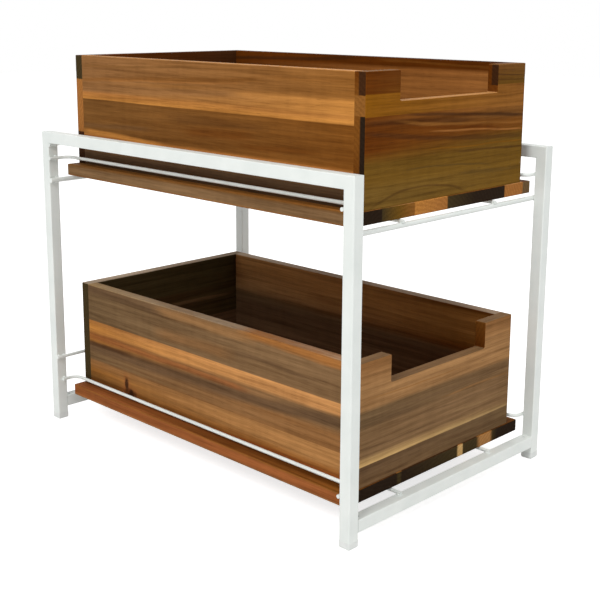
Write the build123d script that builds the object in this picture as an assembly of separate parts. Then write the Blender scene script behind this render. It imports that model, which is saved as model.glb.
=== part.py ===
from build123d import *
import os

# Two-tier sliding organizer. The origin is on the floor, in the middle of the
# footprint. +X is the right side, -Y is the front and +Z is up. Millimetres.

# Frame of square tube: four posts, two top rails mitred onto them, two bottom rails
frame_width = 292.0
frame_depth = 450.0
frame_height = 324.0
tube_size = 12.0
tube_wall = 1.0
tube_edge_radius = 1.0
bottom_rail_height = 13.0
vent_hole_diameter = 2.4
vent_hole_from_post = 6.0

# Plug-in foot at the bottom of each post
foot_height = 7.0
foot_overhang = 0.2
foot_rounding = 2.0
foot_corner_radius = 1.0
foot_stem_length = 14.0
foot_stem_clearance = 0.15
foot_stem_chamfer = 1.0

# Round wires and rods, each with a small flat where it is welded to a tube. The rods hang
# a given drop below the top of the frame, and the insets are from the frame's or the base
# board's edge to a wire's end or middle.
rod_diameter = 5.0
wire_diameter = 3.5
weld_flat = 0.3
upper_rod_drop = 52.0
front_rod_end_inset = 6.0
runner_inset = 62.0
runner_rail_lap = 5.0
guide_bend_radius = 10.0
guide_clearance = 4.2
guide_box_gap = 4.25
lower_guide_rear_inset = 6.0
lower_stop_above_base = 32.5

# Wooden drawer: a box of four panels on a wider base board, between the posts. The setback
# is from the front of the frame to the front of the upper box, and the stop gap from the
# rear of that box to its stop wire. The lower drawer is pushed in a little further.
upper_setback = 16.2
upper_stop_gap = 8.6
lower_push_in = 2.8
base_side_gap = 3.5
base_ledge = 14.5
base_thickness = 12.0
base_front_lip = 1.5
slide_gap = 0.3
box_height = 115.0
panel_thickness = 12.0
notch_side = 45.0
notch_depth = 26.0
notch_corner_radius = 1.6
box_corner_radius = 1.5
edge_rounding = 0.8

# Countersunk screws from below, through the base board into the panels
screw_length = 30.0
screw_head_diameter = 7.0
screw_shank_diameter = 3.5
screw_tip_length = 4.0
screw_recess = 0.5
screw_clearance = 0.05
drive_width = 0.9
drive_span = 4.0
drive_depth = 1.6
side_screw_shares = (-0.36, 0.0, 0.36)
end_screw_shares = (-0.2, 0.2)

# Sizes worked out from the ones above
post_x = (frame_width - tube_size) / 2
post_y = (frame_depth - tube_size) / 2
post_inner_x = frame_width / 2 - tube_size
post_inner_y = frame_depth / 2 - tube_size
rod_radius = rod_diameter / 2
wire_radius = wire_diameter / 2
bottom_rail_top = bottom_rail_height + tube_size
rod_y = post_inner_y - rod_radius + weld_flat
wire_y = post_inner_y - wire_radius + weld_flat
base_width = 2 * (post_inner_x - base_side_gap)
box_width = base_width - 2 * base_ledge
box_length = frame_depth / 2 + wire_y - wire_radius - upper_setback - upper_stop_gap
notch_width = box_width - 2 * notch_side
runner_x = base_width / 2 - runner_inset
guide_x = box_width / 2 + guide_box_gap + wire_radius
lower_setback = upper_setback + lower_push_in
upper_rod_height = frame_height - upper_rod_drop
upper_seat = upper_rod_height + rod_radius - weld_flat
upper_runner_height = upper_seat + wire_radius - weld_flat
lower_runner_height = bottom_rail_top + wire_radius - weld_flat
upper_base_bottom = upper_runner_height + wire_radius + slide_gap
lower_base_bottom = lower_runner_height + wire_radius + slide_gap
guide_above_base = base_thickness + guide_clearance + wire_radius
upper_stop_height = frame_height - tube_size - wire_radius + weld_flat
lower_stop_height = lower_base_bottom + base_thickness + lower_stop_above_base

LEFT, RIGHT = -1, 1
FRONT, REAR = -1, 1
SIDES = {"left": LEFT, "right": RIGHT}
ENDS = {"front": FRONT, "rear": REAR}


def tube_section():
    """Square tube in section, with rounded outer edges."""
    bore = tube_size - 2 * tube_wall
    return RectangleRounded(tube_size, tube_size, tube_edge_radius) - Rectangle(bore, bore)


def mitre_plane(end):
    """Plane of the mitre between a post and a top rail, its normal on the rail's side."""
    corner = (0, end * frame_depth / 2, frame_height)
    return Plane(origin=corner, x_dir=(1, 0, 0), z_dir=(0, -end, 1))


def post(side, end):
    """Post standing on its foot, cut at 45 degrees at the top."""
    blank = extrude(tube_section(), amount=frame_height - foot_height)
    blank = Pos(side * post_x, end * post_y, foot_height) * blank
    return split(blank, bisect_by=mitre_plane(end), keep=Keep.BOTTOM)


def top_rail(side):
    """Top rail from front to rear, cut at 45 degrees at both ends."""
    rail = Rot(90, 0, 0) * extrude(tube_section(), amount=frame_depth / 2, both=True)
    rail = Pos(side * post_x, 0, frame_height - tube_size / 2) * rail
    for end in ENDS.values():
        rail = split(rail, bisect_by=mitre_plane(end), keep=Keep.TOP)
    return rail


def bottom_rail(end):
    """Bottom rail between two posts, with a vent hole in its top wall beside each post."""
    rail = Rot(0, 90, 0) * extrude(tube_section(), amount=post_inner_x, both=True)
    for side in SIDES.values():
        hole = Cylinder(vent_hole_diameter / 2, tube_size, align=(Align.CENTER, Align.CENTER, Align.MIN))
        rail -= Pos(side * (post_inner_x - vent_hole_from_post), 0, 0) * hole
    return Pos(0, end * post_y, bottom_rail_height + tube_size / 2) * rail


def foot(side, end):
    """Foot: a pad with a rounded underside, and a stem inside the post."""
    pad_size = tube_size + 2 * foot_overhang
    stem_size = tube_size - 2 * tube_wall - 2 * foot_stem_clearance
    on_floor = (Align.CENTER, Align.CENTER, Align.MIN)
    pad = Box(pad_size, pad_size, foot_height, align=on_floor)
    pad = fillet(pad.edges().filter_by(Axis.Z), foot_corner_radius)
    pad = fillet(pad.faces().sort_by(Axis.Z)[0].edges(), foot_rounding)
    stem = Box(stem_size, stem_size, foot_stem_length, align=on_floor)
    stem = chamfer(stem.faces().sort_by(Axis.Z)[-1].edges(), foot_stem_chamfer)
    return Pos(side * post_x, end * post_y, 0) * (pad + Pos(0, 0, foot_height) * stem)


def post_envelope(side, end):
    """Plain square bar as large as a post, which cuts a wire's weld flat."""
    return Pos(side * post_x, end * post_y, frame_height / 2) * Box(tube_size, tube_size, frame_height)


def rail_envelope(side):
    """Plain square bar as large as a top rail, which cuts a wire's weld flat."""
    bar = Box(tube_size, frame_depth, tube_size)
    return Pos(side * post_x, 0, frame_height - tube_size / 2) * bar


def cross_wire(radius, half_length, y, height):
    """Straight round wire along X."""
    return Pos(0, y, height) * Rot(0, 90, 0) * Cylinder(radius, 2 * half_length)


def upper_rod(end):
    """Cross rod on the posts' inner faces, with a flat where each runner wire crosses it."""
    inset = front_rod_end_inset if end == FRONT else 0
    rod = cross_wire(rod_radius, frame_width / 2 - inset, end * rod_y, upper_rod_height)
    above_seat = Box(wire_diameter, rod_diameter, rod_diameter, align=(Align.CENTER, Align.CENTER, Align.MIN))
    for side in SIDES.values():
        rod -= post_envelope(side, end)
        rod -= Pos(side * runner_x, end * rod_y, upper_seat) * above_seat
    return rod


def runner(side, half_length, height):
    """Straight round wire along Y."""
    wire = Rot(90, 0, 0) * Cylinder(wire_radius, 2 * half_length)
    return Pos(side * runner_x, 0, height) * wire


def upper_runner(side):
    """Runner wire on the two cross rods, ending level with them."""
    wire = runner(side, rod_y + rod_radius, upper_runner_height)
    below_seat = Box(wire_diameter, rod_diameter, rod_diameter, align=(Align.CENTER, Align.CENTER, Align.MAX))
    for end in ENDS.values():
        wire -= Pos(side * runner_x, end * rod_y, upper_seat) * below_seat
    return wire


def lower_runner(side):
    """Runner wire on the two bottom rails, lapping a little onto each."""
    wire = runner(side, post_inner_y + runner_rail_lap, lower_runner_height)
    below_seat = Box(frame_width, tube_size, tube_size, align=(Align.CENTER, Align.CENTER, Align.MAX))
    for end in ENDS.values():
        wire -= Pos(0, end * post_y, bottom_rail_top) * below_seat
    return wire


def guide_wire(side, height, rear_inset):
    """Wire over the edge of a base board, bent outward at both ends onto the posts."""
    route = FilletPolyline(
        (side * frame_width / 2, -wire_y, height),
        (side * guide_x, -wire_y, height),
        (side * guide_x, wire_y, height),
        (side * (frame_width / 2 - rear_inset), wire_y, height),
        radius=guide_bend_radius,
    )
    section = Plane(origin=route @ 0, z_dir=route % 0) * Circle(wire_radius)
    wire = sweep(section, path=route)
    for end in ENDS.values():
        wire -= post_envelope(side, end)
    return wire


def stop_wire(height):
    """Wire across the rear posts, which the drawer's rear panel meets."""
    wire = cross_wire(wire_radius, frame_width / 2, wire_y, height)
    for side in SIDES.values():
        wire -= post_envelope(side, REAR)
        wire -= rail_envelope(side)
    return wire


def eased_walls():
    """The four box walls as one shape on z = 0, with the finger notch and eased edges."""
    inner_width = box_width - 2 * panel_thickness
    inner_length = box_length - 2 * panel_thickness
    walls = extrude(Rectangle(box_width, box_length) - Rectangle(inner_width, inner_length), amount=box_height)
    corners = walls.edges().filter_by(Axis.Z).sort_by_distance((0, 0, box_height / 2))[-4:]
    walls = fillet(corners, box_corner_radius)
    notch = Box(notch_width, 2 * panel_thickness, 2 * notch_depth)
    walls -= Pos(0, -box_length / 2, box_height) * notch
    across = [e for e in walls.edges().filter_by(Axis.Y) if e.length < 2 * panel_thickness]
    walls = fillet(across, notch_corner_radius)
    rim = walls.edges().filter_by_position(Axis.Z, box_height - notch_depth, box_height)
    rim = [e for e in rim if not (abs((e % 0.5).Y) > 0.5 and e.length < 2 * panel_thickness)]
    return fillet(rim, edge_rounding)


def wall_regions():
    """Blocks that part the four walls: front and rear run across the whole width."""
    end_block = Box(box_width, panel_thickness, 2 * box_height)
    side_block = Box(panel_thickness, box_length - 2 * panel_thickness, 2 * box_height)
    end_y = (box_length - panel_thickness) / 2
    side_x = (box_width - panel_thickness) / 2
    return {
        "front_panel": Pos(0, -end_y, 0) * end_block,
        "rear_panel": Pos(0, end_y, 0) * end_block,
        "left_panel": Pos(-side_x, 0, 0) * side_block,
        "right_panel": Pos(side_x, 0, 0) * side_block,
    }


def screw_places():
    """Screw positions on the centre lines of the four panels."""
    side_x = (box_width - panel_thickness) / 2
    end_y = (box_length - panel_thickness) / 2
    along_sides = [(side * side_x, share * box_length) for side in SIDES.values() for share in side_screw_shares]
    along_ends = [(share * box_width, end * end_y) for end in ENDS.values() for share in end_screw_shares]
    return along_sides + along_ends


def screw_body(clearance):
    """Countersunk screw pointing up from z = 0, larger all round by the clearance."""
    head = screw_head_diameter / 2 + clearance
    shank = screw_shank_diameter / 2 + clearance
    top = screw_length + clearance
    profile = Polyline(
        (0, 0),
        (head, 0),
        (shank, head - shank),
        (shank, top - screw_tip_length),
        (0, top),
        close=True,
    )
    return revolve(Plane.XZ * make_face(profile), axis=Axis.Z)


def screw():
    """Countersunk screw with a cross recess in its head."""
    slot = Box(drive_span, drive_width, drive_depth, align=(Align.CENTER, Align.CENTER, Align.MIN))
    return screw_body(0) - slot - Rot(0, 0, 90) * slot


def screw_hole():
    """Hole for one screw, open below its head."""
    mouth = screw_head_diameter / 2 + screw_clearance
    way_in = Cylinder(mouth, 2 * screw_recess, align=(Align.CENTER, Align.CENTER, Align.MAX))
    return screw_body(screw_clearance) + way_in


def drawer(base_bottom, setback):
    """All pieces of one drawer, by name, at its rest place."""
    screw_bottom = base_bottom + screw_recess
    middle_y = -frame_depth / 2 + setback + box_length / 2
    places = [Pos(x, middle_y + y, screw_bottom) for x, y in screw_places()]
    holes = [place * screw_hole() for place in places]

    board = Box(base_width, box_length + base_front_lip, base_thickness)
    board = fillet(board.edges(), edge_rounding)
    board = Pos(0, middle_y - base_front_lip / 2, base_bottom + base_thickness / 2) * board
    pieces = {"base_board": board - holes}

    walls = eased_walls()
    box_place = Pos(0, middle_y, base_bottom + base_thickness)
    for name, region in wall_regions().items():
        pieces[name] = box_place * (walls & region) - holes
    pieces["base_screws"] = Compound(children=[place * screw() for place in places])
    return pieces


def save(shape, node):
    """Write one node."""
    shape.label = node
    export_step(shape, f"parts/{node}.step")


os.makedirs("parts", exist_ok=True)

for side_name, side in SIDES.items():
    for end_name, end in ENDS.items():
        save(post(side, end), f"post_{end_name}_{side_name}")
        save(foot(side, end), f"foot_{end_name}_{side_name}")
    save(top_rail(side), f"top_rail_{side_name}")
    save(upper_runner(side), f"upper_runner_{side_name}")
    save(lower_runner(side), f"lower_runner_{side_name}")
    save(guide_wire(side, upper_base_bottom + guide_above_base, 0), f"upper_guide_{side_name}")
    lower_guide_height = lower_base_bottom + guide_above_base
    save(guide_wire(side, lower_guide_height, lower_guide_rear_inset), f"lower_guide_{side_name}")

for end_name, end in ENDS.items():
    save(bottom_rail(end), f"bottom_rail_{end_name}")
    save(upper_rod(end), f"upper_rod_{end_name}")

save(stop_wire(upper_stop_height), "upper_stop_wire")
save(stop_wire(lower_stop_height), "lower_stop_wire")

for drawer_name, base_bottom, setback in (
    ("upper", upper_base_bottom, upper_setback),
    ("lower", lower_base_bottom, lower_setback),
):
    for piece_name, piece in drawer(base_bottom, setback).items():
        save(piece, f"{drawer_name}_{piece_name}")
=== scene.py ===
import math
import bmesh
import bpy
from mathutils import Matrix, Vector


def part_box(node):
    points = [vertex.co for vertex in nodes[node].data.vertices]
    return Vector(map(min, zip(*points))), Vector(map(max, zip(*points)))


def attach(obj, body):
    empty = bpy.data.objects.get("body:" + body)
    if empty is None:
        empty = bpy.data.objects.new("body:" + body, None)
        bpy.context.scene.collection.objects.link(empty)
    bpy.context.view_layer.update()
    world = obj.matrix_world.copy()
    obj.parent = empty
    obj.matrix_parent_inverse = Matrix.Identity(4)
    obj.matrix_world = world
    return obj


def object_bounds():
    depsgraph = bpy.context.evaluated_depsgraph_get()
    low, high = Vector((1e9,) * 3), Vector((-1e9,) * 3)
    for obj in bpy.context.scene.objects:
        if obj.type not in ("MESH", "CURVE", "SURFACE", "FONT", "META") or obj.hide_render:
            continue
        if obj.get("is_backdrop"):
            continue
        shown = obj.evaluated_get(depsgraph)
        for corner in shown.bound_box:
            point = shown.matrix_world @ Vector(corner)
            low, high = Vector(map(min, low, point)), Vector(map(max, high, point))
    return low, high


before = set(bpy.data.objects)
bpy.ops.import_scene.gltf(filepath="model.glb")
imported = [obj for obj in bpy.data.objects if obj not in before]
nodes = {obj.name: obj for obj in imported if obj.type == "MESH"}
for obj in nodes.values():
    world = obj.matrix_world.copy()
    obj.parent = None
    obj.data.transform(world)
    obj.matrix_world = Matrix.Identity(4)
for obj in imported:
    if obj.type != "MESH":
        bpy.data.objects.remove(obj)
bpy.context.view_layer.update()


# The four posts are 12 mm square steel tube, cut to a mitre at the top and welded to the rails.
# The whole welded frame is powder coated in one go, so tube and wire have the same satin
# white with a fine orange peel.

def add_node(tree, kind, **settings):
    """A shader node with its settings: a capital letter names an input, a small one an option."""
    node = tree.nodes.new("ShaderNode" + kind)
    for setting, value in settings.items():
        if setting[0].isupper():
            node.inputs[setting.replace("_", " ")].default_value = value
        else:
            setattr(node, setting, value)
    return node


def spread(tree, value, low, high, to_low=0.0, to_high=1.0):
    """The value between low and high, stretched to run from to_low to to_high and kept there."""
    node = add_node(tree, "MapRange", From_Min=low, From_Max=high, To_Min=to_low, To_Max=to_high)
    tree.links.new(value, node.inputs["Value"])
    return node.outputs["Result"]


def linear(red, green, blue):
    """A paint or stain named by its screen colour, 0 to 255, as the shader wants it."""
    parts = []
    for part in (red, green, blue):
        part = part / 255
        parts.append(part / 12.92 if part <= 0.04045 else ((part + 0.055) / 1.055) ** 2.4)
    return (*parts, 1)


def tint(tree, share, first, second, blend="MIX"):
    """Two colours or colour sockets laid over each other by a share from 0 to 1."""
    node = tree.nodes.new("ShaderNodeMix")
    node.data_type = "RGBA"
    node.blend_type = blend
    for place, value in ((0, share), (6, first), (7, second)):
        if isinstance(value, (int, float, tuple)):
            node.inputs[place].default_value = value
        else:
            tree.links.new(value, node.inputs[place])
    return node.outputs[2]


def speckle(tree, per_metre, detail=2.0, roughness=0.5):
    """Noise in real size. per_metre is one number, or three for a grain that is drawn out."""
    if isinstance(per_metre, (int, float)):
        per_metre = (per_metre,) * 3
    where = tree.nodes.new("ShaderNodeTexCoord")
    stretch = add_node(tree, "Mapping", Scale=per_metre)
    cloud = add_node(tree, "TexNoise", Scale=1.0, Detail=detail, Roughness=roughness)
    tree.links.new(where.outputs["Object"], stretch.inputs["Vector"])
    tree.links.new(stretch.outputs["Vector"], cloud.inputs["Vector"])
    return cloud.outputs["Fac"]


def relief(tree, shader, height, depth, strength):
    """A bump of the given depth in metres on the shader."""
    bump = add_node(tree, "Bump", Strength=strength, Distance=depth)
    tree.links.new(height, bump.inputs["Height"])
    tree.links.new(bump.outputs["Normal"], shader.inputs["Normal"])


def powder_coat(name, peel_per_metre, peel_depth):
    """Satin white polyester powder with orange peel, thin and thick patches and faint rubs."""
    coat = bpy.data.materials.new(name)
    coat.use_nodes = True
    tree = coat.node_tree
    paint = tree.nodes["Principled BSDF"]
    thin_white = linear(226, 231, 227)
    thick_white = linear(233, 237, 233)
    patches = spread(tree, speckle(tree, 35, detail=3.0), 0.35, 0.65)
    white = tint(tree, patches, thin_white, thick_white)
    tree.links.new(white, paint.inputs["Base Color"])
    rubs = speckle(tree, 240, detail=4.0, roughness=0.6)
    dull = spread(tree, rubs, 0.4, 0.7, to_low=0.36, to_high=0.5)
    tree.links.new(dull, paint.inputs["Roughness"])
    peel = speckle(tree, peel_per_metre)
    relief(tree, paint, peel, peel_depth, strength=0.25)
    return coat


def finish_nodes(material, *names):
    """Gives carried-over pieces their finish, in the slots that they came with."""
    for name in names:
        for slot in nodes[name].material_slots:
            slot.material = material


tube_coat = powder_coat("tube coat", peel_per_metre=700, peel_depth=0.00012)
for end in ("front", "rear"):
    for side in ("left", "right"):
        finish_nodes(tube_coat, f"post_{end}_{side}")


# The two top rails run from front to rear and meet the posts in ground mitres.
# They are of the same tube and carry nothing, since the upper drawer rests on the rods below.

finish_nodes(tube_coat, "top_rail_left", "top_rail_right")


# The two bottom rails are 13 mm tube, welded between the posts from left to right.
# The lower drawer's runners lie on them.

finish_nodes(tube_coat, "bottom_rail_front", "bottom_rail_rear")


# The four feet are white plastic caps with a stem that is pushed up into the tube.
# They are moulded with a fine matt texture.

def moulded_plastic(name):
    """Matt white plastic with the fine spark texture of its mould."""
    plastic = bpy.data.materials.new(name)
    plastic.use_nodes = True
    tree = plastic.node_tree
    skin = tree.nodes["Principled BSDF"]
    shaded_white = linear(221, 224, 221)
    clean_white = linear(230, 232, 229)
    cloudy = spread(tree, speckle(tree, 120, detail=3.0), 0.35, 0.65)
    white = tint(tree, cloudy, shaded_white, clean_white)
    tree.links.new(white, skin.inputs["Base Color"])
    worn = speckle(tree, 500, detail=3.0)
    dull = spread(tree, worn, 0.35, 0.65, to_low=0.5, to_high=0.62)
    tree.links.new(dull, skin.inputs["Roughness"])
    spark = speckle(tree, 2400, detail=1.0)
    relief(tree, skin, spark, depth=0.00006, strength=0.35)
    return plastic


foot_plastic = moulded_plastic("foot plastic")
for end in ("front", "rear"):
    for side in ("left", "right"):
        finish_nodes(foot_plastic, f"foot_{end}_{side}")


# The two upper rods are 5 mm wire across the frame, welded flat on the posts' inner faces.
# A small bead of weld under the coat fills the corner along each end.

wire_coat = powder_coat("wire coat", peel_per_metre=1100, peel_depth=0.00008)
finish_nodes(wire_coat, "upper_rod_front", "upper_rod_rear")


def weld_beads(name, beads, length, width, rise):
    """Low oval beads of weld on the frame: each is a place on the steel, the way out of it and
    the way that the bead runs."""
    bead_mesh = bmesh.new()
    around = 18
    steps = 5
    sunk = 0.0002
    fullness = 0.75
    broad_waver = 0.07
    fine_waver = 0.04
    for count, (place, outward, run) in enumerate(beads):
        place = Vector(place)
        outward = Vector(outward)
        run = Vector(run)
        aside = outward.cross(run)
        crown = bead_mesh.verts.new(place + outward * rise)
        root = bead_mesh.verts.new(place - outward * sunk)
        rings = []
        for step in range(1, steps + 1):
            share = step / steps
            ring = []
            for corner in range(around):
                turn = 2 * math.pi * corner / around
                broad = broad_waver * math.sin(3 * turn + 1.7 * count)
                uneven = 1 + broad + fine_waver * math.sin(5 * turn + count)
                flat = run * (math.cos(turn) * length / 2) + aside * (math.sin(turn) * width / 2)
                height = rise * (1 - share ** 2) ** fullness - sunk * share ** 4
                ring.append(bead_mesh.verts.new(place + flat * share * uneven + outward * height))
            rings.append(ring)
        for corner in range(around):
            following = (corner + 1) % around
            bead_mesh.faces.new((crown, rings[0][corner], rings[0][following]))
            for inner, outer in zip(rings, rings[1:]):
                bead_mesh.faces.new((inner[corner], outer[corner], outer[following], inner[following]))
            bead_mesh.faces.new((root, rings[-1][following], rings[-1][corner]))
    bmesh.ops.recalc_face_normals(bead_mesh, faces=bead_mesh.faces)
    for face in bead_mesh.faces:
        face.smooth = True
    mesh = bpy.data.meshes.new(name)
    bead_mesh.to_mesh(mesh)
    bead_mesh.free()
    welds = bpy.data.objects.new(name, mesh)
    bpy.context.scene.collection.objects.link(welds)
    mesh.materials.append(wire_coat)
    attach(welds, "frame")


along_x = (1, 0, 0)
post_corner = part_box("post_front_left")[1]
post_inner_side = -post_corner.x
post_inner_face = post_corner.y
rod_bead_inset = 0.0034
for end, facing in (("front", 1), ("rear", -1)):
    low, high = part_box(f"upper_rod_{end}")
    height = (low.z + high.z) / 2
    beads = []
    for out in (-1, 1):
        place = (out * (post_inner_side + rod_bead_inset), post_inner_face * facing, height)
        beads.append((place, (0, facing, 0), along_x))
    weld_beads(f"upper_rod_{end}_welds", beads, length=0.0062, width=0.0082, rise=0.0026)


# The upper runners are two 3.5 mm wires that lie on the rods, and the drawer's base rests on them.
# Where wire crosses rod, the spot weld has squeezed out a little metal.

finish_nodes(wire_coat, "upper_runner_left", "upper_runner_right")
upwards = (0, 0, 1)
squeezed_below_top = 0.0006
for side in ("left", "right"):
    low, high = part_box(f"upper_runner_{side}")
    middle = (low.x + high.x) / 2
    beads = []
    for end in ("front", "rear"):
        rod_low, rod_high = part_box(f"upper_rod_{end}")
        across = (rod_low.y + rod_high.y) / 2
        beads.append(((middle, across, rod_high.z - squeezed_below_top), upwards, along_x))
    weld_beads(f"upper_runner_{side}_welds", beads, length=0.0066, width=0.0032, rise=0.0012)


# The lower runners are the same wire, laid on the bottom rails from front to rear.
# Their ends are welded down on the rails.

finish_nodes(wire_coat, "lower_runner_left", "lower_runner_right")
along_y = (0, 1, 0)
runner_bead_inset = 0.0022
rail_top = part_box("bottom_rail_front")[1].z
for side in ("left", "right"):
    low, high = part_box(f"lower_runner_{side}")
    middle = (low.x + high.x) / 2
    beads = []
    for end in (low.y + runner_bead_inset, high.y - runner_bead_inset):
        beads.append(((middle, end, rail_top), upwards, along_y))
    weld_beads(f"lower_runner_{side}_welds", beads, length=0.0055, width=0.0064, rise=0.0018)


# The guides are bent 3.5 mm wires beside each drawer. Each turns outward at both ends,
# runs across the posts' inner faces and is welded there.

guide_bead_inset = 0.0032
for level in ("upper", "lower"):
    for side, out in (("left", -1), ("right", 1)):
        guide = f"{level}_guide_{side}"
        finish_nodes(wire_coat, guide)
        low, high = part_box(guide)
        height = (low.z + high.z) / 2
        beads = []
        for facing in (1, -1):
            place = (out * (post_inner_side + guide_bead_inset), post_inner_face * facing, height)
            beads.append((place, (0, facing, 0), along_x))
        weld_beads(f"{guide}_welds", beads, length=0.0058, width=0.0068, rise=0.0022)


# The stop wires cross the frame behind each drawer, so that it can't be pushed out at the rear.
# They are welded on the rear posts' inner faces.

stop_bead_insets = (0.0028, 0.0092)
for level in ("upper", "lower"):
    stop = f"{level}_stop_wire"
    finish_nodes(wire_coat, stop)
    low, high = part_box(stop)
    height = (low.z + high.z) / 2
    beads = []
    for out in (-1, 1):
        for inset in stop_bead_insets:
            place = (out * (post_inner_side + inset), -post_inner_face, height)
            beads.append((place, (0, -1, 0), along_x))
    weld_beads(f"{stop}_welds", beads, length=0.005, width=0.0064, rise=0.002)


# The upper base board is 12 mm solid acacia, glued up from staves that run from front to rear.
# Its front edge shows the staves' end grain, oiled dark, and the box stands on it.

honey = linear(186, 126, 60)
amber = linear(164, 108, 55)
tan = linear(172, 124, 74)
brown = linear(138, 90, 40)
ash = linear(126, 97, 66)
dusky_ash = linear(108, 85, 58)
walnut = linear(120, 73, 26)
dusky_walnut = linear(116, 78, 38)
olive = linear(108, 78, 27)
dark_olive = linear(66, 54, 32)
russet = linear(147, 87, 47)
chestnut = linear(98, 50, 10)
umber = linear(64, 38, 20)
bog_brown = linear(42, 31, 22)


def number(tree, operation, first, second=None, third=None, clamp=False):
    """The sum, product or other result of up to three numbers or sockets."""
    node = tree.nodes.new("ShaderNodeMath")
    node.operation = operation
    node.use_clamp = clamp
    for place, value in enumerate((first, second, third)):
        if value is None:
            continue
        if isinstance(value, (int, float)):
            node.inputs[place].default_value = value
        else:
            tree.links.new(value, node.inputs[place])
    return node.outputs[0]


def stain_ramp(tree, position, stops, low, high):
    """The stain of each stave by where it lies, in mm; two stops close together are a glue line."""
    ramp = tree.nodes.new("ShaderNodeValToRGB")
    stops = sorted(stops)
    elements = ramp.color_ramp.elements
    while len(elements) < len(stops):
        elements.new(0.5)
    for element, (place, stain) in zip(elements, stops):
        element.position = (place - low) / (high - low)
        element.color = stain
    tree.links.new(position, ramp.inputs["Fac"])
    return ramp.outputs["Color"]


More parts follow.
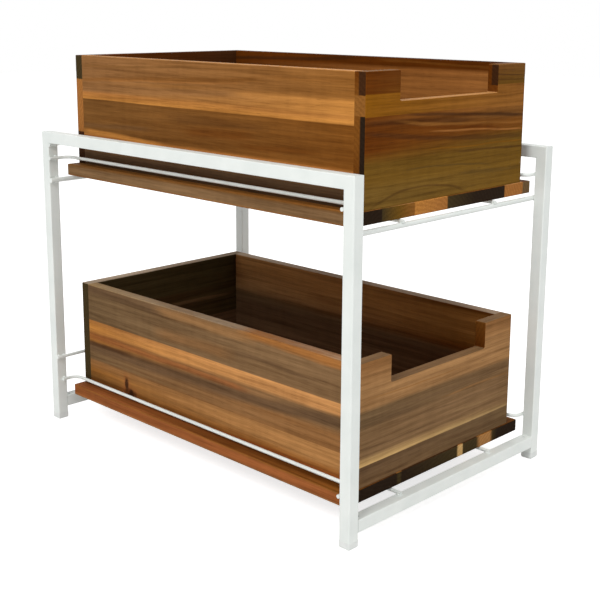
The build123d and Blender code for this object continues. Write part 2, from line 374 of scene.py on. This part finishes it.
def acacia(name, grain, across, near, far, ends_near, ends_far, half_way=0.5, sides=None, streaks=(),
           knots=(), seams=()):
    """Oiled acacia staves on the board of that name.

    grain and across are axis numbers, and all places are in mm on those axes. near and far are the
    stains of the staves by place across them, at the grain's two ends; they meet at the share
    half_way. ends_near and ends_far are the stains of the end grain, and sides those of the board's
    narrow edges, by height. In some calls the stops of near, far and sides also paint shade or a
    sheen, as each call says. A streak is (along, across, along, across, bow, width, strength, stain)
    from one place to another, a knot (along, across, length, breadth), and a seam on the end grain
    (bottom, top, thickness, stain), lying along the outer face.
    """
    wood = bpy.data.materials.new(f"{name} acacia")
    wood.use_nodes = True
    tree = wood.node_tree
    oil = tree.nodes["Principled BSDF"]
    oil.inputs["Specular IOR Level"].default_value = 0.01
    low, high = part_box(name)
    where = tree.nodes.new("ShaderNodeTexCoord")
    axes = tree.nodes.new("ShaderNodeSeparateXYZ")
    tree.links.new(where.outputs["Object"], axes.inputs[0])
    normals = tree.nodes.new("ShaderNodeSeparateXYZ")
    tree.links.new(where.outputs["Normal"], normals.inputs[0])

    def drawn_out(across_per_metre, along_per_metre):
        scale = [across_per_metre] * 3
        scale[grain] = along_per_metre
        return tuple(scale)

    def faces_along(axis):
        square_enough = 0.7
        facing = number(tree, "ABSOLUTE", normals.outputs[axis])
        return number(tree, "GREATER_THAN", facing, square_enough)

    # five sizes of figure: all are drawn out along the grain but the ripple, which crosses it
    streaky = speckle(tree, drawn_out(170, 5), detail=5.0, roughness=0.65)
    fine = speckle(tree, drawn_out(850, 26), detail=4.0, roughness=0.7)
    broad = speckle(tree, drawn_out(60, 9), detail=3.0, roughness=0.55)
    ripple = speckle(tree, drawn_out(28, 110))
    pores = spread(tree, speckle(tree, drawn_out(2300, 80), detail=1.0), 0.66, 0.74)

    # the staves' own stains, from one end of the grain to the other, with the painted shade and
    # sheen that some calls put in their stops
    uneven_change = 0.7
    waver = 0.0012
    margin = 1
    along = spread(tree, axes.outputs[grain], low[grain], high[grain])
    weighted = number(tree, "POWER", along, math.log(0.5) / math.log(half_way))
    lean = number(tree, "MULTIPLY_ADD", streaky, uneven_change, -uneven_change / 2)
    share = number(tree, "ADD", weighted, lean, clamp=True)
    wavering = number(tree, "MULTIPLY_ADD", broad, waver, -waver / 2)
    place = number(tree, "ADD", axes.outputs[across], wavering)
    start = low[across] * 1000 - margin
    stop = high[across] * 1000 + margin
    position = spread(tree, place, start / 1000, stop / 1000)
    near_stain_and_painted_light = stain_ramp(tree, position, near, start, stop)
    far_stain_and_painted_light = stain_ramp(tree, position, far, start, stop)
    stain = tint(tree, share, near_stain_and_painted_light, far_stain_and_painted_light)

    # streaks of heartwood, each from one point to another, with a bow between them
    sway = 0.006
    fade = 0.012
    swaying = number(tree, "MULTIPLY_ADD", broad, sway, -sway / 2)
    swayed = number(tree, "ADD", place, swaying)
    for first, from_place, last, to_place, bow, width, strength, streak_stain in streaks:
        span = last - first
        slope = (to_place - from_place) / span
        run = number(tree, "MULTIPLY_ADD", axes.outputs[grain], 1000 / span, -first / span)
        straight = (from_place - slope * first) / 1000
        middle = number(tree, "MULTIPLY_ADD", axes.outputs[grain], slope, straight)
        hump = number(tree, "MULTIPLY", run, number(tree, "SUBTRACT", 1.0, run))
        middle = number(tree, "MULTIPLY_ADD", hump, 4 * bow / 1000, middle)
        beside = number(tree, "ABSOLUTE", number(tree, "SUBTRACT", swayed, middle))
        half_width = width / 2000
        core = spread(tree, beside, half_width, half_width / 3, 0.0, strength)
        begins = spread(tree, axes.outputs[grain], first / 1000 - fade, first / 1000 + fade)
        fades = spread(tree, axes.outputs[grain], last / 1000 + fade, last / 1000 - fade)
        amount = number(tree, "MULTIPLY", core, number(tree, "MULTIPLY", begins, fades))
        stain = tint(tree, amount, stain, streak_stain)

    # the narrow edges, where they are cut, with the painted sheen or painted shade that some calls put
    # there
    if sides is not None:
        bottom = low.z * 1000 - margin
        top = high.z * 1000 + margin
        tall = spread(tree, axes.outputs[2], bottom / 1000, top / 1000)
        edge_stain_and_painted_light = stain_ramp(tree, tall, sides, bottom, top)
        stain = tint(tree, faces_along(across), stain, edge_stain_and_painted_light)

    # knots, a dark heart in a russet halo, both ragged; reach is 1 at the knot's own edge
    raggedness = 1.2
    for knot_along, knot_across, length, breadth in knots:
        run = number(tree, "SUBTRACT", axes.outputs[grain], knot_along / 1000)
        run = number(tree, "DIVIDE", run, length / 2000)
        rise = number(tree, "SUBTRACT", axes.outputs[across], knot_across / 1000)
        rise = number(tree, "DIVIDE", rise, breadth / 2000)
        squares = number(tree, "MULTIPLY_ADD", run, run, number(tree, "MULTIPLY", rise, rise))
        ragged = number(tree, "MULTIPLY_ADD", speckle(tree, 160, detail=3.0), raggedness, -raggedness / 2)
        reach = number(tree, "ADD", number(tree, "SQRT", squares), ragged)
        halo = spread(tree, reach, low=1.9, high=0.9, to_high=0.5)
        heart = spread(tree, reach, low=1.15, high=0.55)
        stain = tint(tree, halo, stain, russet)
        stain = tint(tree, heart, stain, umber)

    # grain: soft bands, fine lines, growth figure, a little cross ripple and open pores
    figure = add_node(tree, "TexWave", Scale=1.0, Distortion=7.0, Detail=2.0, Detail_Scale=0.9)
    figure.bands_direction = "XYZ"[across]
    figure_per_metre = [10.0, 10.0, 10.0]
    figure_per_metre[across] = 46.0
    figure_per_metre[grain] = 3.4
    stretch = add_node(tree, "Mapping", Scale=figure_per_metre)
    tree.links.new(where.outputs["Object"], stretch.inputs["Vector"])
    tree.links.new(stretch.outputs["Vector"], figure.inputs["Vector"])
    band_share = 0.42
    grain_mix = number(tree, "MULTIPLY", spread(tree, streaky, 0.34, 0.66), band_share)
    line_share = 0.28
    grain_mix = number(tree, "MULTIPLY_ADD", spread(tree, fine, 0.33, 0.67), line_share, grain_mix)
    figure_share = 0.12
    grain_mix = number(tree, "MULTIPLY_ADD", figure.outputs["Fac"], figure_share, grain_mix)
    cloud_share = 0.16
    grain_mix = number(tree, "MULTIPLY_ADD", spread(tree, broad, 0.3, 0.7), cloud_share, grain_mix)
    ripple_share = 0.08
    grain_mix = number(tree, "MULTIPLY_ADD", spread(tree, ripple, 0.3, 0.7), ripple_share, grain_mix)
    dark_line = (0.45, 0.39, 0.34, 1)
    light_line = (1.54, 1.54, 1.55, 1)
    lines = tint(tree, grain_mix, dark_line, light_line)
    grained = tint(tree, 1.0, stain, lines, "MULTIPLY")
    pore_black = (0.02, 0.011, 0.006, 1)
    pore_strength = 0.3
    grained = tint(tree, number(tree, "MULTIPLY", pores, pore_strength), grained, pore_black)

    # end grain: its own stains and seams, with growth rings and the dots of the cut pores
    end_near = stain_ramp(tree, position, ends_near, start, stop)
    end_far = stain_ramp(tree, position, ends_far, start, stop)
    end_stain = tint(tree, along, end_near, end_far)
    thick = 3 - grain - across
    depth_blur = 0.0007
    height_blur = 0.3
    for bottom, top, thickness, seam_stain in seams:
        edge = low[thick] + thickness / 1000
        outside = spread(tree, axes.outputs[thick], edge + depth_blur, edge - depth_blur)
        above = spread(tree, place, (bottom - height_blur) / 1000, (bottom + height_blur) / 1000)
        under = spread(tree, place, (top + height_blur) / 1000, (top - height_blur) / 1000)
        in_seam = number(tree, "MULTIPLY", outside, number(tree, "MULTIPLY", above, under))
        end_stain = tint(tree, in_seam, end_stain, seam_stain)
    rings = add_node(tree, "TexWave", Scale=1.0, Distortion=3.0, Detail=2.0, Detail_Scale=1.5)
    rings.wave_type = "RINGS"
    rings.rings_direction = "XYZ"[grain]
    rings_per_metre = (80.0, 80.0, 80.0)
    log_heart = (4.0, 5.0, -16.0)
    around_heart = add_node(tree, "Mapping", Location=log_heart, Scale=rings_per_metre)
    tree.links.new(where.outputs["Object"], around_heart.inputs["Vector"])
    tree.links.new(around_heart.outputs["Vector"], rings.inputs["Vector"])
    dots = spread(tree, speckle(tree, 900, detail=3.0, roughness=0.7), 0.35, 0.65)
    ring_share = 0.35
    dotted = number(tree, "MULTIPLY", dots, 1 - ring_share)
    end_mix = number(tree, "MULTIPLY_ADD", rings.outputs["Fac"], ring_share, dotted)
    dark_ring = (0.74, 0.7, 0.66, 1)
    light_ring = (1.18, 1.17, 1.16, 1)
    end_lines = tint(tree, end_mix, dark_ring, light_ring)
    end_stain = tint(tree, 1.0, end_stain, end_lines, "MULTIPLY")
    on_end = faces_along(grain)

    # dark lines and end grain are a little duller, and the pores are open
    tree.links.new(tint(tree, on_end, grained, end_stain), oil.inputs["Base Color"])
    roughness = 0.52
    smoother_pale = 0.1
    duller_end = 0.1
    pore_dip = 1.2
    dull = number(tree, "MULTIPLY_ADD", grain_mix, -smoother_pale, roughness)
    tree.links.new(number(tree, "MULTIPLY_ADD", on_end, duller_end, dull), oil.inputs["Roughness"])
    height = number(tree, "MULTIPLY_ADD", pores, -pore_dip, grain_mix)
    relief(tree, oil, height, depth=0.00012, strength=0.4)
    finish_nodes(wood, name)


acacia(
    "upper_base_board", grain=1, across=0,
    near=[(-130, brown), (-94.2, brown), (-93.8, olive), (-50.2, tan), (-49.8, honey), (-3.2, honey),
          (-2.8, walnut), (86.8, walnut), (87.2, tan), (117.8, tan), (118.2, chestnut), (130, chestnut)],
    far=[(-130, dusky_walnut), (-94.2, dusky_walnut), (-93.8, olive), (-50.2, olive), (-49.8, tan),
         (-3.2, honey), (-2.8, walnut), (86.8, walnut), (87.2, tan), (117.8, tan), (118.2, chestnut),
         (130, chestnut)],
    ends_near=[(-130, bog_brown), (-94.2, bog_brown), (-93.8, dark_olive), (-72, olive), (-50.2, brown),
               (-49.8, honey), (-3.2, amber), (-2.8, dark_olive), (40, bog_brown), (86.8, bog_brown),
               (87.2, amber), (117.8, amber), (118.2, dusky_ash), (130, dusky_ash)],
    ends_far=[(-130, umber), (-3, walnut), (130, chestnut)],
    # In sides, the dusky walnut along the top of the edge is painted shade from the rail and guide wire
    # above.
    sides=[(277.7, brown), (280, ash), (287, ash), (289.7, dusky_walnut)],
)


# The upper box's left side is four staves high: brown, honey, walnut, and at the foot amber.
# Under the top rail the foot is painted dark ash brown as the rail's shadow, and the pale
# stops at the rim are a painted sheen. It is glued between the front and rear panels.

pale_honey = linear(200, 144, 88)
rosy_brown = linear(140, 98, 58)
dark_ash = linear(94, 71, 50)

acacia(
    "upper_left_panel", grain=1, across=2, half_way=0.4,
    # dark_ash below 312 mm is the top rail's painted shadow; the stops at 404.7 mm paint the rim's sheen.
    near=[(289.7, dark_ash), (304, dark_ash), (312, amber), (321.8, amber), (322.2, walnut),
          (359.8, walnut), (360.2, honey), (379, honey), (383, brown), (404.2, brown),
          (404.7, pale_honey)],
    far=[(289.7, dark_ash), (304, dark_ash), (312, amber), (322, amber), (324, dusky_walnut),
         (359.6, dusky_walnut), (360.0, honey), (366, amber), (369, rosy_brown), (404.2, rosy_brown),
         (404.7, tan)],
    ends_near=[(289.7, umber), (404.7, umber)],
    ends_far=[(289.7, umber), (404.7, umber)],
    streaks=[(-80, 391, 195, 380, 0, 6, 0.5, walnut), (-50, 377, 200, 372, 0, 10, 0.7, rosy_brown),
             (60, 320, 189, 326, 0, 7, 0.8, honey),
             (-70, 341, 20, 338, 0, 13, 0.5, chestnut), (-90, 351, 40, 349, 0, 11, 0.3, umber),
             (-150, 333, -60, 331, 0, 6, 0.4, chestnut), (-190, 396, -90, 395, 0, 4, 0.35, walnut),
             (80, 335, 195, 332, 0, 7, 0.3, dark_ash), (-60, 387, 140, 381, 0, 3, 0.4, amber),
             (0, 399, 190, 394, 0, 3.5, 0.4, dusky_walnut), (-195, 367, -40, 365, 0, 6, 0.4, amber)],
)


# The upper box's right side has walnut, olive and amber staves that darken to the top edge.
# It is glued in as the left one is, and in the photograph only its inner face shows.

acacia(
    "upper_right_panel", grain=1, across=2,
    near=[(289.7, walnut), (329.8, walnut), (330.2, olive), (357.8, olive), (358.2, amber), (393, amber),
          (397, chestnut), (404.2, chestnut), (404.7, umber)],
    far=[(289.7, walnut), (329.8, walnut), (330.2, olive), (357.8, olive), (358.2, brown), (376, brown),
         (392, chestnut), (404.2, chestnut), (404.7, umber)],
    ends_near=[(289.7, umber), (404.7, umber)],
    ends_far=[(289.7, umber), (404.7, umber)],
    streaks=[(0, 402, 195, 396, 0, 6, 0.6, umber), (-200, 399, -40, 402, 0, 4, 0.6, walnut)],
)


# The upper box's rear panel runs the full width, glued on the sides' ends, so its own end
# grain shows at the left and right. Its top stave is the darkest.

acacia(
    "upper_rear_panel", grain=0, across=2,
    near=[(289.7, walnut), (323.8, walnut), (324.2, brown), (371.8, walnut), (372.2, chestnut),
          (404.7, chestnut)],
    far=[(289.7, olive), (323.8, walnut), (324.2, brown), (371.8, walnut), (372.2, umber), (404.7, umber)],
    ends_near=[(289.7, umber), (323.8, umber), (324.2, amber), (379.8, amber), (380.2, dark_olive),
               (404.7, dark_olive)],
    ends_far=[(289.7, umber), (323.8, umber), (324.2, chestnut), (379.8, chestnut), (380.2, umber),
              (404.7, umber)],
    streaks=[(-116, 345, 60, 338, 3, 6, 0.5, umber), (-40, 352, 116, 357, -2, 5, 0.4, chestnut)],
)


# The upper box's front panel, full width, has the sawn notch for a hand in its top edge.
# An ochre stave lies under the notch, over a wide olive one with dark heartwood streaks, and
# the end grain at the corner has a dark seam along the front face.

ochre = linear(130, 82, 16)
moss = linear(120, 91, 40)

acacia(
    "upper_front_panel", grain=0, across=2,
    near=[(289.7, moss), (304, moss), (314, olive), (327, olive), (338, chestnut), (366.8, chestnut),
          (367.2, ochre), (385.8, ochre), (386.2, chestnut), (404.7, chestnut)],
    far=[(289.7, olive), (338, olive), (346, walnut), (352, walnut), (358, dusky_walnut), (366, brown),
         (385.8, brown), (386.2, olive), (404.7, dusky_walnut)],
    ends_near=[(289.7, chestnut), (345, walnut), (367.8, walnut), (368.2, brown), (384.8, brown),
               (385.2, walnut), (404.7, chestnut)],
    seams=[(289.7, 367.8, 5.6, bog_brown), (385.2, 404.7, 7.5, umber)],
    ends_far=[(289.7, umber), (367.8, umber), (368.2, chestnut), (404.7, chestnut)],
    # In sides, the tan from 378.3 to 379.2 mm, on the notch floor, is a painted sheen.
    sides=[(289.7, umber), (377, chestnut), (378.3, tan), (379.2, tan), (381, chestnut),
           (404.7, dusky_walnut)],
    streaks=[(-116, 353, 116, 336, -2, 6, 0.5, umber), (-60, 366, 116, 356, 0, 4, 0.7, umber),
             (-116, 361, 30, 356, 1, 7, 0.45, umber), (-70, 360, 116, 350, -1, 3.5, 0.7, brown),
             (-20, 350, 116, 343, 0, 2.4, 0.8, amber), (-60, 356, 70, 347, 0, 4, 0.7, chestnut),
             (10, 329, 116, 325, 0, 3, 0.5, umber), (-30, 334, 116, 331, 0, 2.4, 0.5, ochre),
             (-104, 292, 20, 293, 10, 3.4, 0.45, umber), (-96, 291, -34, 292, 4, 9, 0.6, moss),
             (-60, 320, 60, 312, 2, 2.6, 0.35, dark_olive), (20, 308, 116, 305, 0, 5, 0.3, dark_olive),
             (30, 398, 116, 394, 0, 2.5, 0.6, umber), (60, 391, 116, 389, 0, 2, 0.5, umber)],
)


# Screws hold each base board to its box from below: zinc plated steel with crossed heads.
# They are sunk flush and only show from underneath.

def zinc_plate(name):
    """Bright zinc with fine turning marks and a few dull spots."""
    zinc = bpy.data.materials.new(name)
    zinc.use_nodes = True
    tree = zinc.node_tree
    metal = tree.nodes["Principled BSDF"]
    metal.inputs["Metallic"].default_value = 1.0
    bright_zinc = linear(196, 198, 200)
    grey_zinc = linear(158, 160, 162)
    spots = spread(tree, speckle(tree, 900, detail=3.0), 0.35, 0.7)
    plate = tint(tree, spots, bright_zinc, grey_zinc)
    tree.links.new(plate, metal.inputs["Base Color"])
    dull = spread(tree, speckle(tree, 1400), 0.35, 0.65, to_low=0.28, to_high=0.46)
    tree.links.new(dull, metal.inputs["Roughness"])
    turning_marks = speckle(tree, (4000, 4000, 400), detail=1.0)
    relief(tree, metal, turning_marks, depth=0.00003, strength=0.3)
    return zinc


screw_zinc = zinc_plate("screw zinc")
finish_nodes(screw_zinc, "upper_base_screws", "lower_base_screws")


# The lower base board is made and carried like the upper one, of dark staves with a few thin
# light ones. Its left edge is russet.

dun = linear(158, 118, 76)
straw = linear(206, 168, 110)

acacia(
    "lower_base_board", grain=1, across=0,
    near=[(-130, walnut), (-62.2, umber), (-61.8, brown), (-55.2, brown), (-54.8, umber), (30.8, umber),
          (31.2, amber), (37.8, amber), (38.2, umber), (61.8, umber), (62.2, brown), (86.8, brown),
          (87.2, umber), (130, walnut)],
    far=[(-130, russet), (-62.2, walnut), (-61.8, brown), (-54.8, walnut), (30.8, walnut), (31.2, brown),
         (37.8, brown), (38.2, walnut), (61.8, walnut), (62.2, tan), (86.8, tan), (87.2, walnut),
         (130, walnut)],
    ends_near=[(-130, bog_brown), (-63, bog_brown), (-60, dark_olive), (-57, dark_olive),
               (-54.6, bog_brown), (29, dark_olive), (31.2, straw), (37.8, straw), (39, dark_olive),
               (61, dark_olive), (67, tan), (84, tan), (88, dark_olive), (96, bog_brown),
               (130, bog_brown)],
    ends_far=[(-130, umber), (130, umber)],
    sides=[(28.5, dun), (31, russet), (38, russet), (40.5, brown)],
)


# The lower box's left side: ash brown over a honey stave, a dark one and a tan one with a knot.
# It is glued up and oiled as the upper box is, and the pale stops at its rim are a painted sheen.

pale_ash = linear(152, 124, 84)
# painted_rim_sheen is the pale grey painted on the lower box's rims as their sheen.
painted_rim_sheen = linear(172, 153, 131)
rust = linear(150, 76, 34)

acacia(
    "lower_left_panel", grain=1, across=2, half_way=0.62,
    # The stops at 155.3 mm, on the rim, are a painted sheen.
    near=[(40.5, brown), (50, amber), (55, tan), (69.3, tan), (69.7, rosy_brown), (84, rosy_brown),
          (92, ash), (101, ash), (105, pale_honey), (115.3, pale_honey), (115.7, ash), (154.9, ash),
          (155.3, painted_rim_sheen)],
    far=[(40.5, walnut), (50, dusky_walnut), (58, brown), (69, rosy_brown), (72, dusky_ash), (84, ash),
         (92, brown), (101, amber), (106, honey), (115.3, amber), (115.7, dusky_ash), (142, dusky_ash),
         (154.9, dark_ash), (155.3, pale_ash)],
    ends_near=[(40.5, umber), (155.5, umber)],
    ends_far=[(40.5, umber), (155.5, umber)],
    streaks=[(-200, 151, -60, 154, 0, 11, 0.9, amber), (-70, 150, 70, 149, 0, 13, 0.4, tan),
             (-200, 98, 200, 86, -4, 16, 0.84, dark_ash), (-60, 97, 195, 98, 0, 9, 0.6, russet),
             (120, 90, 195, 89, 0, 7, 0.6, umber), (-200, 47, -10, 44, 0, 7, 0.55, rust),
             (-150, 128, -40, 131, 2, 7, 0.4, dark_ash), (60, 146, 192, 150, 0, 8, 0.5, dark_ash),
             (-120, 62, 60, 60, 0, 4, 0.35, pale_honey), (-40, 128, 70, 126, 0, 16, 0.5, rosy_brown)],
    knots=[(120, 48, 21, 11), (126, 56, 8, 15)],
)


# The lower box's right side, whose inner face shows over the left one.
# It is tan to brown near the top, and below that umber to dark ash brown, partly its stain and
# partly painted shade of the box's inside; the rim stop is a painted sheen.

acacia(
    "lower_right_panel", grain=1, across=2,
    near=[(40.5, umber), (104, umber), (112, chestnut), (119, walnut), (131, brown), (150, brown),
          (154.9, chestnut), (155.3, painted_rim_sheen)],
    far=[(40.5, dark_ash), (98, dark_ash), (108, dusky_ash), (118, dun), (142, tan), (154.9, tan),
         (155.3, painted_rim_sheen)],
    ends_near=[(40.5, umber), (155.5, umber)],
    ends_far=[(40.5, umber), (155.5, umber)],
)


# The lower box's rear panel, full width, with dark olive end grain at the sides.
# Its staves are dark olive, umber and, at the foot, a dark ash brown, partly their stain and partly
# painted shade of the box's inside. The rim stop is a painted sheen.

acacia(
    "lower_rear_panel", grain=0, across=2,
    near=[(40.5, dark_ash), (84.8, dark_ash), (85.2, umber), (121.8, umber), (122.2, dark_olive),
          (154.9, dark_olive), (155.3, painted_rim_sheen)],
    far=[(40.5, dark_ash), (84.8, dark_ash), (85.2, dark_olive), (154.9, dark_olive), (155.3, painted_rim_sheen)],
    ends_near=[(40.5, dark_olive), (155.5, dark_olive)],
    ends_far=[(40.5, umber), (155.5, umber)],
    streaks=[(-116, 104, 90, 108, 2, 5, 0.5, ash), (-60, 62, 116, 58, -3, 5, 0.5, dark_ash)],
)


# The lower box's front panel, with the same notch. Under it lies a dun stave,
# then a wide ash brown one, a thin straw-coloured streak and a dusky ash one at the foot.

acacia(
    "lower_front_panel", grain=0, across=2,
    near=[(40.5, ash), (59.8, dark_ash), (60.1, straw), (62, straw), (69, ash), (92, ash), (98, dusky_ash),
          (109, dusky_ash), (113, dun), (130, dun), (155.5, rosy_brown)],
    far=[(40.5, dusky_ash), (59.8, dusky_ash), (60.1, pale_ash), (61.5, pale_ash), (65, ash), (92, ash),
         (98, ash), (108, ash), (112, dun), (130, dun), (155.5, rosy_brown)],
    ends_near=[(40.5, umber), (155.5, umber)],
    ends_far=[(40.5, umber), (128, chestnut), (155.5, walnut)],
    # In sides, the ash on the notch floor and on the rim is a painted sheen.
    sides=[(40.5, umber), (127.5, ash), (155.5, ash)],
    streaks=[(-116, 104, 116, 101, 0, 2.5, 0.4, dark_ash), (-60, 88, 116, 85, 0, 2.2, 0.35, dark_ash),
             (10, 97, 116, 94, 0, 3, 0.4, tan), (-95, 121, 30, 118, 0, 2, 0.4, brown),
             (-116, 76, 0, 74, 0, 2.5, 0.35, dark_ash), (20, 78, 116, 75, 0, 3, 0.35, pale_ash),
             (-30, 140, 116, 138, 0, 2, 0.3, ash), (-116, 99, -30, 97, 0, 9, 0.35, dark_ash),
             (0, 53, 116, 47, 0, 6, 0.3, umber), (-116, 46, -40, 44, 0, 5, 0.3, umber)],
)


# The floor is a plain white sweep. To the camera it is bright enough to read as white,
# and it still takes the object's soft shadow.

def seen_directly(tree):
    """1 for what the camera sees straight or in a reflection, otherwise 0."""
    path = tree.nodes.new("ShaderNodeLightPath")
    seen = number(tree, "MAXIMUM", path.outputs["Is Camera Ray"], path.outputs["Is Glossy Ray"])
    return number(tree, "MAXIMUM", seen, path.outputs["Is Transmission Ray"])


floor_half = 6.0
floor_mesh = bpy.data.meshes.new("floor")
floor_corners = [(-floor_half, -floor_half, 0), (floor_half, -floor_half, 0),
                 (floor_half, floor_half, 0), (-floor_half, floor_half, 0)]
floor_mesh.from_pydata(floor_corners, [], [(0, 1, 2, 3)])
floor = bpy.data.objects.new("floor", floor_mesh)
bpy.context.scene.collection.objects.link(floor)
paper = bpy.data.materials.new("white sweep")
paper.use_nodes = True
sweep = paper.node_tree
sweep.nodes.remove(sweep.nodes["Principled BSDF"])
paper_white = (0.88, 0.88, 0.88, 1)
pure_white = (1, 1, 1, 1)
glow_strength = 0.74
matt = add_node(sweep, "BsdfDiffuse", Color=paper_white)
glow = add_node(sweep, "Emission", Color=pure_white)
both = sweep.nodes.new("ShaderNodeAddShader")
glow_share = number(sweep, "MULTIPLY", seen_directly(sweep), glow_strength)
sweep.links.new(glow_share, glow.inputs["Strength"])
sweep.links.new(matt.outputs[0], both.inputs[0])
sweep.links.new(glow.outputs[0], both.inputs[1])
sweep.links.new(both.outputs[0], sweep.nodes["Material Output"].inputs["Surface"])
floor_mesh.materials.append(paper)
floor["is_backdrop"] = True


# The light of a white studio: even light all round, white where the camera sees it,
# and two soft lamps, one high on the left and one high in front.

world = bpy.data.worlds.new("studio")
world.use_nodes = True
bpy.context.scene.world = world
room = world.node_tree
even_strength = 0.54
wall_strength = 1.0
even = room.nodes["Background"]
even.inputs["Color"].default_value = pure_white
even.inputs["Strength"].default_value = even_strength
white_wall = add_node(room, "Background", Color=pure_white, Strength=wall_strength)
choose = room.nodes.new("ShaderNodeMixShader")
room.links.new(seen_directly(room), choose.inputs[0])
room.links.new(even.outputs[0], choose.inputs[1])
room.links.new(white_wall.outputs[0], choose.inputs[2])
room.links.new(choose.outputs[0], room.nodes["World Output"].inputs["Surface"])


def soft_lamp(name, place, watts, side):
    """A square softbox aimed at the middle of the drawers."""
    middle_of_drawers = Vector((0, 0, 0.2))
    lamp_data = bpy.data.lights.new(name, "AREA")
    lamp_data.shape = "SQUARE"
    lamp_data.size = side
    lamp_data.energy = watts
    lamp = bpy.data.objects.new(name, lamp_data)
    lamp.location = place
    lamp.rotation_mode = "QUATERNION"
    lamp.rotation_quaternion = (middle_of_drawers - lamp.location).to_track_quat("-Z", "Y")
    bpy.context.scene.collection.objects.link(lamp)


soft_lamp("left lamp", place=(-1.65, -0.45, 1.65), watts=20, side=0.8)
soft_lamp("front lamp", place=(0.0, -1.3, 2.35), watts=17, side=0.9)


# The camera stands at the left front corner, a little above the upper box,
# where the photograph was taken from.

camera_data = bpy.data.cameras.new("camera")
camera_data.sensor_width = 36
camera_data.lens = 66.3
camera_data.shift_y = -0.1
camera = bpy.data.objects.new("camera", camera_data)
bpy.context.scene.collection.objects.link(camera)
stand = Vector((-0.79700, -0.80272, 0.45455))
turned = math.radians(-45.57)
tilted_down = math.radians(11.845)
rolled = math.radians(0.319)
level_ahead = Vector((-math.sin(turned), math.cos(turned), 0))
ahead = level_ahead * math.cos(tilted_down) - Vector((0, 0, math.sin(tilted_down)))
level_right = Vector((math.cos(turned), math.sin(turned), 0))
level_up = level_right.cross(ahead)
to_right = level_right * math.cos(rolled) + level_up * math.sin(rolled)
to_top = level_up * math.cos(rolled) - level_right * math.sin(rolled)
camera.matrix_world = Matrix((
    (to_right.x, to_top.x, -ahead.x, stand.x),
    (to_right.y, to_top.y, -ahead.y, stand.y),
    (to_right.z, to_top.z, -ahead.z, stand.z),
    (0, 0, 0, 1),
))
bpy.context.scene.camera = camera
bpy.context.scene.view_settings.view_transform = "Standard"

low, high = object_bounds()
